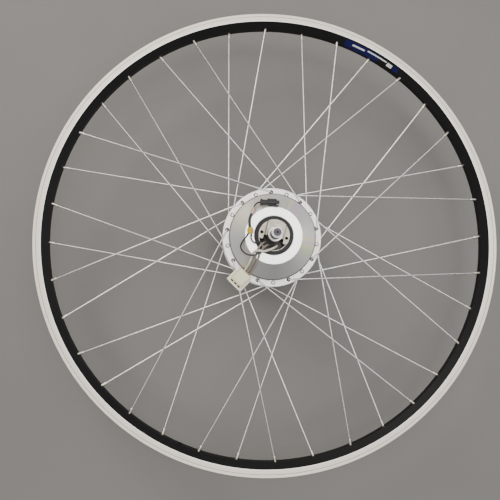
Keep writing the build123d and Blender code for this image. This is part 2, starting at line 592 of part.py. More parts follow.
def build_gears():
    tip, root = MODULE, 1.25 * MODULE
    sun_r = MODULE * SUN_TEETH / 2
    teeth = extrude(gear_face(SUN_TEETH, sun_r + tip, sun_r - root, -BACKLASH, 0), GEAR_W + 2)
    sun = Pos(0, 0, GEAR_Z - 1) * teeth
    sun += tube(ROTOR_HUB_R, 0, CAN_FLOOR - 1.5, 1.5) + tube(sun_r - root, 0, GEAR_Z, CAN_FLOOR - GEAR_Z)
    nodes["sun_gear"] = sun - tube(AXLE_R + 0.3, 0, GEAR_Z - 2, 30)

    ring_r = MODULE * RING_TEETH / 2
    cutter = extrude(gear_face(RING_TEETH, ring_r + root, ring_r - tip, BACKLASH, 180 / RING_TEETH), GEAR_W)
    nodes["ring_gear"] = tube(SHELL_BORE_R - SLIP, 0, GEAR_Z, GEAR_W) - Pos(0, 0, GEAR_Z) * cutter

    planet_r = MODULE * PLANET_TEETH / 2
    foot = GEAR_Z - 3 - CARRIER_T
    carrier = tube(CENTRE_R + 7, CLUTCH_R + SLIP, foot, CARRIER_T)
    pins = []
    clips = []
    for i in range(PLANETS):
        angle = 360 / PLANETS * i
        spot = Pos(polar(CENTRE_R, angle))
        body = extrude(gear_face(PLANET_TEETH, planet_r + tip, planet_r - root, -BACKLASH,
                                 planet_turn(angle)), GEAR_W)
        bush = tube(BUSH_R, PIN_R + RUN, GEAR_Z, GEAR_W)
        body = body - tube(BUSH_R + SLIP, 0, 0, GEAR_W)
        nodes["planet_gear_" + str(i + 1)] = group([spot * Pos(0, 0, GEAR_Z) * body, spot * bush])
        carrier -= spot * tube(PIN_R + SLIP, 0, foot, CARRIER_T)
        carrier += spot * tube(PIN_R + 2.5, PIN_R + SLIP, foot + CARRIER_T, 2.7)
        pin = tube(PIN_R, 0, foot, GEAR_W + CARRIER_T + 4.6)
        clip_z = GEAR_Z + GEAR_W + 0.4
        pin -= tube(PIN_R + 1, PIN_R - 0.5, clip_z, 0.8)
        pins.append(spot * pin)
        mouth = block(0, 10, -2.5, 2.5, clip_z, clip_z + 1)
        clip = tube(PIN_R + 1.8, PIN_R - 0.45, clip_z + 0.05, 0.7) - mouth
        clips.append(spot * Rot(0, 0, angle) * clip)
    between = 180 / PLANETS
    holes = [Pos(polar(CENTRE_R - 1, between + 2 * between * i)) * tube(6, 0, foot, CARRIER_T)
             for i in range(PLANETS)]
    nodes["planet_carrier"] = carrier - holes
    nodes["planet_pins"] = group(pins)
    nodes["planet_clips"] = group(clips)

    bearing_top = FAR_BEARING_Z + FAR_BEARING[2]
    sleeve_r = AXLE_R + 2.5
    sleeve_l = foot + CARRIER_T - bearing_top
    nodes["clutch_inner_sleeve"] = tube(sleeve_r, AXLE_R + SLIP, bearing_top, sleeve_l)
    roller_at = sleeve_r + ROLLER_R + RUN
    roller = Pos(roller_at, 0, foot + 0.5) * Cylinder(ROLLER_R, CARRIER_T - 1, align=UPRIGHT)
    nodes["clutch_rollers"] = group(spread(roller, 10))
    nodes["clutch_outer_ring"] = tube(CLUTCH_R, roller_at + ROLLER_R + RUN, foot, CARRIER_T)


# ---------------------------------------------------------------- wires and connectors
PHASE_D = 2.8
LEAD_D = 2.0
SLEEVE_D = 3.6
TAIL_D = 2.2
THIN_D = 1.0
WELL_FLOOR = PLATE_Z + GROMMET_T

PHASE_ROUTES = {
    "phase_wire_grey": [(-10.6, -7.8, WELL_FLOOR), (-10.6, -7.8, 43.6), (-14.6, -10.2, 49.8),
                        (-19.0, -14.4, 50.8), (-21.8, -20.4, 50.6), (-23.8, -27.2, 50.4),
                        (-26.8, -34.0, 49.2), (-30.0, -41.0, 43.4), (-35.2, -49.4, 35.6)],
    "phase_wire_cream": [(4.8, -12.8, WELL_FLOOR), (4.8, -12.8, 44.0), (0.2, -16.0, 51.0),
                         (-7.4, -19.6, 55.2), (-13.6, -21.3, 57.4), (-19.6, -20.4, 57.8),
                         (-25.6, -20.6, 53.4), (-28.6, -26.4, 50.2), (-30.8, -33.4, 48.8),
                         (-33.6, -39.4, 43.2), (-38.2, -46.4, 35.6)],
    "phase_wire_brown": [(-5.6, -12.0, WELL_FLOOR), (-5.6, -12.0, 43.8), (-9.6, -13.0, 49.4),
                         (-14.6, -16.8, 50.6), (-18.0, -22.8, 50.8), (-20.4, -29.8, 50.8),
                         (-23.6, -36.8, 48.2), (-27.0, -44.0, 42.6), (-32.4, -52.4, 35.6)],
}
LEAD_ROUTES = {
    "signal_lead_inner": [(-12.3, -4.1, WELL_FLOOR), (-12.3, -4.1, 43.2), (-14.8, -7.0, 48.6),
                          (-19.4, -9.0, 50.2), (-24.8, -10.6, 49.8), (-29.0, -6.6, 49.8),
                          (-29.9, -1.4, 50.2), (-28.9, 2.9, 50.8)],
    "signal_lead_loop": [(1.6, -12.6, WELL_FLOOR), (1.6, -12.6, 44.0), (-2.6, -13.6, 50.4),
                         (-8.2, -15.8, 53.2), (-14.4, -19.2, 54.0), (-20.0, -23.2, 54.0),
                         (-26.2, -26.0, 54.4), (-31.4, -26.0, 53.2), (-36.8, -23.8, 49.6),
                         (-41.2, -19.6, 46.6), (-43.2, -14.8, 45.8), (-41.4, -9.4, 47.4),
                         (-38.2, -5.0, 49.4), (-35.2, -1.2, 50.7), (-32.3, 3.1, 50.8)],
}
SLEEVE_ROUTE = [(-30.9, 9.4, 50.8), (-31.7, 15.6, 51.0), (-31.2, 22.0, 50.4), (-28.9, 27.8, 48.9)]
WIRE_ROUTES = {
    "signal_wire_brown": [(-30.1, 27.4, 49.1), (-29.2, 30.9, 48.1), (-27.9, 33.9, 47.2),
                          (-26.1, 36.6, 46.4)],
    "signal_wire_red": [(-28.3, 26.6, 49.1), (-26.4, 29.6, 48.3), (-25.3, 32.8, 47.3),
                        (-24.7, 36.0, 46.4)],
    "signal_wire_white": [(-29.2, 27.0, 50.1), (-27.7, 30.3, 49.7), (-26.2, 33.4, 48.6),
                          (-25.4, 36.3, 47.3)],
}
TAIL_ROUTE = [(-25.6, 35.4, 46.6), (-24.7, 39.0, 45.7), (-22.3, 41.8, 45.3), (-19.0, 43.4, 45.6),
              (-15.8, 43.75, 46.4)]


def bend_radii(points):
    """As large an arc at each point as its two runs allow."""
    spots = [Vector(*p) for p in points]
    radii = []
    for before, here, after in zip(spots, spots[1:], spots[2:]):
        turn = radians((here - before).get_angle(after - here))
        shorter = min((here - before).length, (after - here).length)
        radii.append(0.45 * shorter / tan(turn / 2))
    return radii


def cord(name, points, diameter):
    radii = bend_radii(points)
    path = FilletPolyline(*[Vector(*p) for p in points], radius=radii)
    start = Plane(origin=path @ 0, z_dir=path % 0)
    solid = sweep(start * Circle(diameter / 2), path=path)
    expected = pi * diameter ** 2 / 4 * path.length
    print(name, "length", round(path.length, 1), "radii", [round(r, 1) for r in radii],
          "volume ratio", round(solid.volume / expected, 4))
    nodes[name] = solid


def phase_connector():
    """Three-pole block: housing, side rails, raised lid and three slots."""
    length, width, height = 23.6, 20.4, 11.0
    body = rounded_box(length, width, height, 0.8)
    body += Pos(3.2, 0, 1.5) * rounded_box(17.0, width + 4.4, 7.0, 0.8)
    body += Pos(-2.4, 0, height) * rounded_box(17.6, width - 3.0, 0.8, 0.6)
    for i in (-1, 0, 1):
        body -= Pos(9.4, 5.6 * i, height - 2.5) * rounded_box(1.7, 3.6, 3.0, 0.4)
        body -= Pos(length / 2 - 6, 6.0 * i, height / 2 - 2.6) * block(0, 8, -2.2, 2.2, 0, 5.2)
    return body


def signal_connector():
    """In-line plug: barrel, collar, latch arms and nose."""
    body = Pos(-6.4, 0, 0) * rounded_box(12.4, 6.6, 5.6, 0.7)
    body += Pos(4.4, 0, 0) * rounded_box(9.4, 8.4, 6.4, 0.8)
    body += Pos(-11.0, 0, 0) * rounded_box(2.6, 7.6, 6.0, 0.6)
    body += Pos(10.6, 1.4, 1.2) * rounded_box(4.2, 3.6, 3.6, 0.8)
    body += Pos(2.2, 5.4, 2.0) * rounded_box(11.6, 1.6, 2.2, 0.5)
    body += Pos(6.4, 4.6, 2.0) * rounded_box(2.6, 2.4, 2.2, 0.3)
    body += Pos(7.4, -5.4, 2.0) * rounded_box(9.2, 1.6, 2.2, 0.5)
    body += Pos(5.2, -4.6, 2.0) * rounded_box(2.6, 2.4, 2.2, 0.3)
    for x in (-8.4, -6.4, -4.4):
        body -= Pos(x, 0, 5.2) * Box(0.8, 5.0, 1.0, align=UPRIGHT)
    return body


def build_wires():
    for name, points in PHASE_ROUTES.items():
        cord(name, points, PHASE_D)
    for name, points in LEAD_ROUTES.items():
        cord(name, points, LEAD_D)
    cord("signal_sleeve", SLEEVE_ROUTE, SLEEVE_D)
    for name, points in WIRE_ROUTES.items():
        cord(name, points, THIN_D)
    cord("signal_tail", TAIL_ROUTE, TAIL_D)

    nodes["phase_connector"] = Pos(-43.8, -55.6, 30.0) * Rot(0, 0, 225) * phase_connector()

    band = scale(Sphere(1), (3.9, 6.0, 2.35)) & Box(20, 8.4, 20)
    nodes["splice_tape"] = Pos(-30.5, 6.0, 50.8) * Rot(0, 0, 6) * band

    clock, seat_r = 96.9, 41.2
    radial, tangent = polar(1, clock), polar(1, clock - 90)
    lean = atan2(CONE_SLOPE, 1)
    normal = radial * sin(lean) + Vector(0, 0, cos(lean))
    uphill = radial * -cos(lean) + Vector(0, 0, sin(lean))
    yaw = radians(13.9)
    forward = tangent * cos(yaw) + uphill * sin(yaw)
    surface = polar(seat_r, clock, COVER_EDGE + (COVER_R - COVER_BREAK - seat_r) * CONE_SLOPE)
    frame = Plane(origin=surface + normal * 0.4, x_dir=forward, z_dir=normal)
    nodes["signal_connector"] = frame.location * signal_connector()


# ---------------------------------------------------------------- build and write
build_wheel()
build_hub()
build_bearings()
build_axle()
build_motor()
build_gears()
build_wires()

os.makedirs("parts", exist_ok=True)
for node, shape in nodes.items():
    export_step(shape, "parts/" + node + ".step")
print(len(nodes), "nodes")
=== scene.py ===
# %% [markdown]
# # A bare e-bike wheel with its geared hub motor
# The wheel lies on its back on a pale floor, cable side up. The frame that is loaded here holds every metal
# piece at its real size: rim, spokes, hub shell, covers, axle and the gears inside. This lesson gives those
# pieces their finishes, and models what still lacks detail: the wires with their tape, the two plugs and the
# threads. The sticker on the rim is part of the rim's finish.

# %% Load the frame
import bpy
import bmesh
from math import cos, hypot, pi, radians, sin
from mathutils import Matrix, Vector


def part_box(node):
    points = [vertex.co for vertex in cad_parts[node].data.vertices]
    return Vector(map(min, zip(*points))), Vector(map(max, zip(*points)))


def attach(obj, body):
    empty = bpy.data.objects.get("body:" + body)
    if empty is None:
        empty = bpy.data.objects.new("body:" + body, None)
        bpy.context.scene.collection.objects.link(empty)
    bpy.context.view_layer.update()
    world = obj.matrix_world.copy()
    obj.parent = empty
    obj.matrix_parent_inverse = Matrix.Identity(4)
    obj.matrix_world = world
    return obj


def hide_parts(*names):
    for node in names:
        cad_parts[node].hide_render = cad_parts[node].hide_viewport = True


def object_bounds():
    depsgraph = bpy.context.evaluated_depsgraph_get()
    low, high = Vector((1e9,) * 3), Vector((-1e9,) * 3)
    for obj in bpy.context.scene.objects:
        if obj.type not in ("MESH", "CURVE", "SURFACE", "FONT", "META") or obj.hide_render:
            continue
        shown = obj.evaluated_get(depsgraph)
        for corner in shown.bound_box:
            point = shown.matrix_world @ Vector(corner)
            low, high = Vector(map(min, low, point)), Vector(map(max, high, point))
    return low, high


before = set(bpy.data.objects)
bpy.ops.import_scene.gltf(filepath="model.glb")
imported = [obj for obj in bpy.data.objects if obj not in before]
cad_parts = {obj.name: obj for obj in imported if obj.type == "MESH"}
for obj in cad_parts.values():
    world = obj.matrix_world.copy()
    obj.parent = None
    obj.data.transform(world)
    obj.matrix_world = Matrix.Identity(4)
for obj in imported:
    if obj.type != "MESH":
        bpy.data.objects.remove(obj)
cad_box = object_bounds()
MM = 0.001

# %% [markdown]
# ## The camera
# The wheel is seen from above and a little from the lower left, by a wide lens held under 0.7 m away, so the
# axle's tip stands a little up and right of the rim's centre. A camera looks along its own -Z with +Y up, so a
# rotation matrix with the three directions as columns aims it without any trial and error.

# %% Camera
CAMERA_SPOT = Vector((-0.0702, -0.0659, 0.6827))
VIEW_WAY = Vector((0.0616, 0.0736, -0.9954)).normalized()
VIEW_UP = Vector((-0.0023, 0.9973, 0.0736))
LENS_MM = 35.82
SENSOR_MM = 36.0

camera_data = bpy.data.cameras.new("wheel_camera")
camera_data.lens = LENS_MM
camera_data.sensor_width = SENSOR_MM
camera_data.clip_start = 0.01
camera = bpy.data.objects.new("wheel_camera", camera_data)
bpy.context.scene.collection.objects.link(camera)
right = VIEW_WAY.cross(VIEW_UP).normalized()
up = right.cross(VIEW_WAY)
camera.matrix_world = Matrix.Translation(CAMERA_SPOT) @ Matrix((right, up, -VIEW_WAY)).transposed().to_4x4()
bpy.context.scene.camera = camera
print("camera", round(CAMERA_SPOT.length, 3), "m from the hub's centre")

# %% [markdown]
# ## Floor and light
# A plain pale floor sits just under the lowest point of the axle. One broad lamp hangs nearly over the hub, so
# the flat turned ring around the axle mirrors it straight back and goes bright white, as polished metal does
# under a ceiling lamp. A small lamp inside it sharpens that white. Two more stand at the sides, a warm one behind
# on the left and a weak cool one on the right, and draw the edges of the spokes and the cone.

# %% Floor
FLOOR_Z = cad_box[0][2] - 0.0005
FLOOR_SIZE = 12.0


def new_object(name, mesh):
    piece = bpy.data.objects.new(name, mesh)
    bpy.context.scene.collection.objects.link(piece)
    return piece


def mesh_piece(name, bm, smooth_angle=35):
    """Turn a bmesh into an object whose faces are smooth up to that angle."""
    bmesh.ops.recalc_face_normals(bm, faces=bm.faces)
    mesh = bpy.data.meshes.new(name)
    for face in bm.faces:
        face.smooth = True
    for edge in bm.edges:
        if edge.is_manifold and edge.calc_face_angle(0) > radians(smooth_angle):
            edge.smooth = False
    bm.to_mesh(mesh)
    bm.free()
    return new_object(name, mesh)


floor_mesh = bmesh.new()
bmesh.ops.create_grid(floor_mesh, x_segments=1, y_segments=1, size=FLOOR_SIZE / 2)
bmesh.ops.translate(floor_mesh, verts=floor_mesh.verts, vec=(0, 0, FLOOR_Z))
floor = mesh_piece("floor", floor_mesh)
print("floor at", round(FLOOR_Z, 4))

# %% Lamps
LAMPS = (
    # name, place in m, size in m, power in W, colour
    ("ceiling_lamp", (0.15, 0.15, 2.0), 2.8, 38.0, (1.0, 0.98, 0.95)),
    ("ring_lamp", (0.20, 0.19, 1.9), 0.6, 7.0, (1.0, 0.99, 0.97)),
    ("back_lamp", (-1.3, 1.9, 1.5), 1.2, 34.0, (1.0, 0.96, 0.90)),
    ("right_lamp", (2.1, 0.3, 1.0), 1.2, 9.0, (0.97, 0.985, 1.0)),
)
for name, lamp_spot, size, power, colour in LAMPS:
    lamp_data = bpy.data.lights.new(name, "AREA")
    lamp_data.size = size
    lamp_data.energy = power
    lamp_data.color = colour
    lamp = bpy.data.objects.new(name, lamp_data)
    lamp.location = lamp_spot
    lamp.rotation_euler = (-Vector(lamp_spot)).to_track_quat("-Z", "Y").to_euler()
    bpy.context.scene.collection.objects.link(lamp)

world = bpy.data.worlds.new("studio")
world.use_nodes = True
sky = world.node_tree.nodes["Background"].inputs
sky["Color"].default_value = (0.90, 0.88, 0.85, 1)
sky["Strength"].default_value = 0.50
bpy.context.scene.world = world
print(len(LAMPS), "lamps")

# %% [markdown]
# ## How the finishes are built
# Every finish is a Principled shader fed by a few small node groups, all reading Object coordinates in metres,
# so a pattern keeps its real size and stays with its piece. What changes over the surface is linked; what is
# the same everywhere is set on the shader's own socket. A few helpers cover most of it: a node with its inputs
# filled in, a sum, a mask, a cloudy variation, fine lines across a radius, and a bump.

# %% Shader helpers
def add(tree, kind, inputs=None, **settings):
    """A node of that kind with its settings and its inputs filled in; an input can be another node's output."""
    node = tree.nodes.new(kind)
    for name, value in settings.items():
        setattr(node, name, value)
    for name, value in (inputs or {}).items():
        if isinstance(value, bpy.types.NodeSocket):
            tree.links.new(value, node.inputs[name])
        else:
            node.inputs[name].default_value = value
    return node


def blend_colours(tree, factor, low, high):
    """Mix two colours by a factor socket."""
    mix = add(tree, "ShaderNodeMix", {"Factor": factor}, data_type="RGBA")
    for socket, value in ((mix.inputs[6], low), (mix.inputs[7], high)):
        if isinstance(value, bpy.types.NodeSocket):
            tree.links.new(value, socket)
        else:
            socket.default_value = (*value, 1)
    return mix.outputs[2]


def spread_values(tree, factor, low, high):
    """A factor between 0 and 1 becomes a number between low and high."""
    node = add(tree, "ShaderNodeMapRange", {"Value": factor, "To Min": low, "To Max": high})
    return node.outputs["Result"]


def arithmetic(tree, operation, first, second=0.0):
    node = add(tree, "ShaderNodeMath", operation=operation)
    for socket, value in zip(node.inputs, (first, second)):
        if isinstance(value, bpy.types.NodeSocket):
            tree.links.new(value, socket)
        else:
            socket.default_value = value
    return node.outputs[0]


def place(tree):
    return add(tree, "ShaderNodeTexCoord").outputs["Object"]


def cloud(tree, size, vector=None, detail=3.0, rough=0.55):
    """Soft noise between 0 and 1 whose blobs are about that many metres across."""
    node = add(tree, "ShaderNodeTexNoise", {"Vector": vector or place(tree), "Scale": 1 / size,
                                            "Detail": detail, "Roughness": rough})
    return node.outputs[0]


def lines(tree, value, per_unit, detail):
    """Uneven lines between 0 and 1 across a value, that many to its unit."""
    along = arithmetic(tree, "MULTIPLY", value, per_unit)
    return add(tree, "ShaderNodeTexNoise", {"W": along, "Detail": detail}, noise_dimensions="1D").outputs[0]


def bump(tree, height, depth, strength=0.5):
    inputs = {"Height": height, "Distance": depth, "Strength": strength}
    return add(tree, "ShaderNodeBump", inputs).outputs["Normal"]


def finish(name, **sockets):
    """A material with its Principled sockets set; returns it with its tree and shader."""
    material = bpy.data.materials.new(name)
    material.use_nodes = True
    tree = material.node_tree
    shader = tree.nodes["Principled BSDF"]
    for key, value in sockets.items():
        shader.inputs[key.replace("_", " ")].default_value = value
    return material, tree, shader


def feed(tree, shader, **outputs):
    for key, output in outputs.items():
        tree.links.new(output, shader.inputs[key.replace("_", " ")])


def flat_place(tree):
    """The place with its height left out."""
    return add(tree, "ShaderNodeVectorMath", {0: place(tree), 1: (1, 1, 0)}, operation="MULTIPLY").outputs[0]


def height_of(tree):
    return add(tree, "ShaderNodeSeparateXYZ", {"Vector": place(tree)}).outputs["Z"]


def measured(tree, operation, first, second=(0, 0, 0)):
    """A number that a vector operation gives: a length, a distance or a dot product."""
    return add(tree, "ShaderNodeVectorMath", {0: first, 1: second}, operation=operation).outputs["Value"]


def radius(tree):
    """Distance from the wheel's axle, in metres."""
    return measured(tree, "LENGTH", flat_place(tree))


def turn(tree):
    """Clock position round the axle, 0 to 1, counter-clockwise from -X."""
    return add(tree, "ShaderNodeTexGradient", {"Vector": place(tree)}, gradient_type="RADIAL").outputs[0]


def clock(degrees):
    """Where a direction in degrees from +X falls on that turn."""
    return ((degrees + 180) % 360) / 360


def round_the_axle(tree):
    """Tangent for brushed rings."""
    return add(tree, "ShaderNodeTangent", direction_type="RADIAL", axis="Z").outputs[0]


print("shader helpers ready")

# %% [markdown]
# ## Rim
# The rim is an aluminium extrusion. Its outside was anodised black, then the brake tracks were machined bare,
# which leaves a pale satin band with very fine turned lines and a thin wear groove. One material does both,
# because the border is simply a radius: inside it is black, outside it is bare metal. The sticker lies on the
# black wall. It is made of plain bars, each a stretch of the turn and a stretch of the wall.

# %% Rim finish
RIM_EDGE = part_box("rim")[1][0]
TRACK_EDGE = RIM_EDGE - 11.0 * MM
TRACK_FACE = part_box("rim")[1][2] - 0.4 * MM
BARE_EDGE = RIM_EDGE - 2.6 * MM
# the near-white line along the track's inner edge is a painted highlight
HIGHLIGHT_LINE_EDGE = TRACK_EDGE + 1.2 * MM
TRACK_LINE = 1.9 * MM
WEAR_GROOVE_R = RIM_EDGE - 4.6 * MM
WEAR_GROOVE_W = 0.55 * MM
STICKER_R = (RIM_EDGE - 18.2 * MM, RIM_EDGE - 11.8 * MM)
BLUE, PALE = (0.004, 0.005, 0.075), (0.74, 0.75, 0.76)
STICKER = (
    # from and to in degrees from +X, from and to across the wall, colour
    (58.8, 69.0, 0.0, 0.9, BLUE), (56.5, 62.4, 0.52, 0.72, PALE), (63.2, 66.8, 0.34, 0.58, PALE),
    (54.6, 56.2, 0.20, 0.70, PALE), (52.6, 54.2, 0.15, 0.85, BLUE),
)


def within(tree, value, low, high):
    """1 where the value lies between the two limits, else 0."""
    return arithmetic(tree, "MULTIPLY", arithmetic(tree, "GREATER_THAN", value, low),
                      arithmetic(tree, "LESS_THAN", value, high))


def with_sticker(tree, colour, r, height):
    """Lay the plain bars of the sticker over a colour, on the upper black wall only."""
    angle = turn(tree)
    low, high = STICKER_R
    above = arithmetic(tree, "GREATER_THAN", height, 0.0)
    for start, end, inner, outer, tint in STICKER:
        across = within(tree, r, low + inner * (high - low), low + outer * (high - low))
        along = within(tree, angle, clock(start), clock(end))
        mask = arithmetic(tree, "MULTIPLY", arithmetic(tree, "MULTIPLY", across, along), above)
        colour = blend_colours(tree, mask, colour, tint)
    return colour


def rim_finish():
    material, tree, shader = finish("rim_black_and_bare", Specular_IOR_Level=0.22)
    r = radius(tree)
    height = height_of(tree)
    on_face = arithmetic(tree, "GREATER_THAN", arithmetic(tree, "ABSOLUTE", height), TRACK_FACE)
    outside = arithmetic(tree, "GREATER_THAN", r, TRACK_EDGE - 0.0001)
    bare = arithmetic(tree, "MAXIMUM", arithmetic(tree, "MULTIPLY", on_face, outside),
                      arithmetic(tree, "GREATER_THAN", r, BARE_EDGE))
    cuts = lines(tree, r, 1 / TRACK_LINE, 5.0)
    off_groove = arithmetic(tree, "ABSOLUTE", arithmetic(tree, "SUBTRACT", r, WEAR_GROOVE_R))
    groove = arithmetic(tree, "LESS_THAN", off_groove, WEAR_GROOVE_W / 2)
    patches = cloud(tree, 0.06, detail=5)
    metal = blend_colours(tree, cuts, (0.70, 0.64, 0.56), (1.0, 0.95, 0.87))
    metal = blend_colours(tree, spread_values(tree, patches, 0.0, 0.45), metal, (0.84, 0.77, 0.68))
    metal = blend_colours(tree, groove, metal, (0.16, 0.155, 0.15))
    # a near-white painted highlight along the inner edge of the brake track
    painted_highlight_line = arithmetic(tree, "LESS_THAN", r, HIGHLIGHT_LINE_EDGE)
    metal = blend_colours(tree, painted_highlight_line, metal, (1.0, 0.99, 0.96))
    black = blend_colours(tree, patches, (0.003, 0.003, 0.0032), (0.008, 0.008, 0.0085))
    rough = arithmetic(tree, "ADD", spread_values(tree, bare, 0.42, 0.34), spread_values(tree, cuts, 0.0, 0.14))
    colour = with_sticker(tree, blend_colours(tree, bare, black, metal), r, height)
    feed(tree, shader, Base_Color=colour, Metallic=spread_values(tree, bare, 0.0, 0.7), Roughness=rough,
         Normal=bump(tree, arithmetic(tree, "MULTIPLY", cuts, bare), 0.00004, 0.6))
    return material


print("brake track", round((RIM_EDGE - TRACK_EDGE) / MM, 1), "mm high")

# %% [markdown]
# ## Bright metals
# Turned, drawn and cast metal differ in how their fine scratches run. Spokes are drawn, so they are scratched
# along their length and look smooth; the cover and the axle are turned, so their scratches are rings, and a
# highlight on rings opens into a fan from the centre. Anisotropy with a tangent round the axle makes that fan.
# The turned finish also paints a weak fan of rays into the colour, a painted sheen.

# %% Metal finishes
# rays of a painted sheen round the axle
PAINTED_SHEEN_RAYS = 46.0


def drawn_wire():
    material, tree, shader = finish("stainless_spoke", Metallic=1.0)
    stain = cloud(tree, 0.018, detail=4)
    feed(tree, shader, Base_Color=blend_colours(tree, stain, (0.66, 0.655, 0.64), (0.86, 0.855, 0.84)),
         Roughness=spread_values(tree, stain, 0.2, 0.34))
    return material


def plain_metal(name, low, high, rough_low, rough_high, grain, depth=0.00001, **sockets):
    """Satin metal with a cloudy tarnish and a fine grain."""
    material, tree, shader = finish(name, Metallic=1.0, **sockets)
    tarnish = cloud(tree, 12 * grain, detail=4)
    fine = cloud(tree, grain, detail=2)
    feed(tree, shader, Base_Color=blend_colours(tree, tarnish, low, high),
         Roughness=spread_values(tree, tarnish, rough_low, rough_high), Normal=bump(tree, fine, depth, 0.4))
    return material


def turned_metal(name, low, high, rough, ring, fan=0.0, anisotropy=0.6, depth=0.00002):
    """Metal with turning rings of that spacing; fan is how strongly a painted sheen of rays round the axle shows in
    its colour.
    """
    material, tree, shader = finish(name, Metallic=1.0, Anisotropic=anisotropy)
    rings = lines(tree, radius(tree), 1 / ring, 3.0)
    # a painted sheen: rays round the axle laid into the colour
    sheen_rays = lines(tree, turn(tree), PAINTED_SHEEN_RAYS, 2.0)
    shade = arithmetic(tree, "ADD", spread_values(tree, rings, 0.0, 1.0 - fan), spread_values(tree, sheen_rays, 0.0, fan))
    feed(tree, shader, Base_Color=blend_colours(tree, shade, low, high),
         Roughness=spread_values(tree, rings, rough, rough + 0.1), Tangent=round_the_axle(tree),
         Normal=bump(tree, rings, depth, 0.35))
    return material


print("metal finishes ready")

# %% [markdown]
# ## The turned cover
# The cone of the cover looks warm and light on one side and cooler and darker on the other, and at two narrow
# places the turning marks split the light into faint colours. A ramp round the axle paints this light and shade into
# the colour: a painted cream highlight over the upper left, painted grey shade below, and two short painted rainbow
# reflections. They stay weak, so the cover still looks right from other sides. The cone's outer edge is painted
# dark, a band of painted shade.

# %% Cover finish
# painted highlight, painted shade and painted rainbow reflections round the cone
CONE_PAINTED_LIGHT = (
    # place round the axle in degrees from +X, colour
    (0, (0.92, 0.90, 0.85)), (34, (0.86, 0.85, 0.83)), (50, (0.94, 0.76, 0.90)), (57, (0.76, 0.80, 0.96)),
    (61, (1.0, 0.98, 0.62)), (66, (0.80, 0.79, 0.76)), (92, (0.90, 0.87, 0.80)), (118, (0.84, 0.81, 0.73)),
    (135, (0.99, 0.95, 0.79)), (160, (0.97, 0.93, 0.77)), (176, (0.80, 0.78, 0.74)), (215, (0.74, 0.73, 0.70)),
    (250, (0.46, 0.46, 0.45)), (272, (0.40, 0.40, 0.40)), (300, (0.52, 0.52, 0.51)), (325, (0.76, 0.745, 0.72)),
    (338, (0.80, 0.94, 0.62)), (345, (1.0, 0.98, 0.62)), (350, (0.90, 0.78, 1.0)), (354, (1.0, 0.90, 0.54)),
)
FLAT_RING_R = 37.1 * MM
CONE_EDGE_R = 56.3 * MM
COVER_RING = 0.5 * MM


def cover_finish():
    material, tree, shader = finish("turned_cover", Metallic=0.62, Anisotropic=0.55, Coat_Weight=0.1)
    # the ramp paints highlight, shade and rainbow reflections round the cone into the colour
    ramp = add(tree, "ShaderNodeValToRGB", {"Fac": turn(tree)})
    stops = ramp.color_ramp.elements
    while len(stops) < len(CONE_PAINTED_LIGHT):
        stops.new(0.5)
    placed = sorted((clock(degrees), colour) for degrees, colour in CONE_PAINTED_LIGHT)
    for stop, (position, colour) in zip(stops, placed):
        stop.position = position
        stop.color = (*colour, 1)
    r = radius(tree)
    rings = lines(tree, r, 1 / COVER_RING, 3.0)
    flat_part = arithmetic(tree, "LESS_THAN", r, FLAT_RING_R)
    tint = blend_colours(tree, flat_part, ramp.outputs["Color"], (0.97, 0.965, 0.955))
    tint = blend_colours(tree, spread_values(tree, rings, 0.0, 0.30), tint, (0.50, 0.50, 0.49))
    # the cone's outer edge is painted dark: painted shade
    painted_shade_edge = arithmetic(tree, "GREATER_THAN", r, CONE_EDGE_R)
    tint = blend_colours(tree, painted_shade_edge, tint, (0.20, 0.195, 0.19))
    feed(tree, shader, Base_Color=tint, Roughness=spread_values(tree, rings, 0.26, 0.38),
         Tangent=round_the_axle(tree), Normal=bump(tree, rings, 0.00002, 0.4))
    return material


print(len(CONE_PAINTED_LIGHT), "tints round the cone")

# %% [markdown]
# ## Plastic and rubber
# The plugs are moulded and a little glossy where they were handled; the wire sleeves are softer, with fine dust.
# One function serves all of them, and the grain and the clouding are its arguments.

# %% Moulded finishes
def moulded(name, low, high, rough_low, rough_high, grain, depth, patch=0.006, **sockets):
    """Non-metal with clouded colour, uneven gloss and a grain of that size and depth, in metres."""
    material, tree, shader = finish(name, **sockets)
    clouds = cloud(tree, patch, detail=4)
    fine = cloud(tree, grain, detail=3)
    feed(tree, shader, Base_Color=blend_colours(tree, clouds, low, high),
         Roughness=spread_values(tree, fine, rough_low, rough_high), Normal=bump(tree, fine, depth, 0.5))
    return material


print("moulded finish ready")

# %% [markdown]
# ## The side plate
# The fixed plate round the axle is beige plated steel. A raised slab crosses it. Painted shade darkens the slab's
# foot, the two tapped holes and the well for the wires. Each of these is a mask made from a distance or a height,
# so the painted shade keeps to the low places.

# %% Side plate finish
HOLE_SPOTS = ((15.88 * MM, -4.11 * MM, 0), (-15.88 * MM, 4.11 * MM, 0))
HOLE_R = 2.25 * MM
WELL_SHADE_Z = 46.2 * MM
PLATE_FACE_Z = 51.95 * MM
SLAB_SIDE = 11.4 * MM
SLAB_FOOT_Z = 53.0 * MM
SLAB_TURN = radians(-14.5)
SLAB_AXIS = (cos(SLAB_TURN), sin(SLAB_TURN), 0)


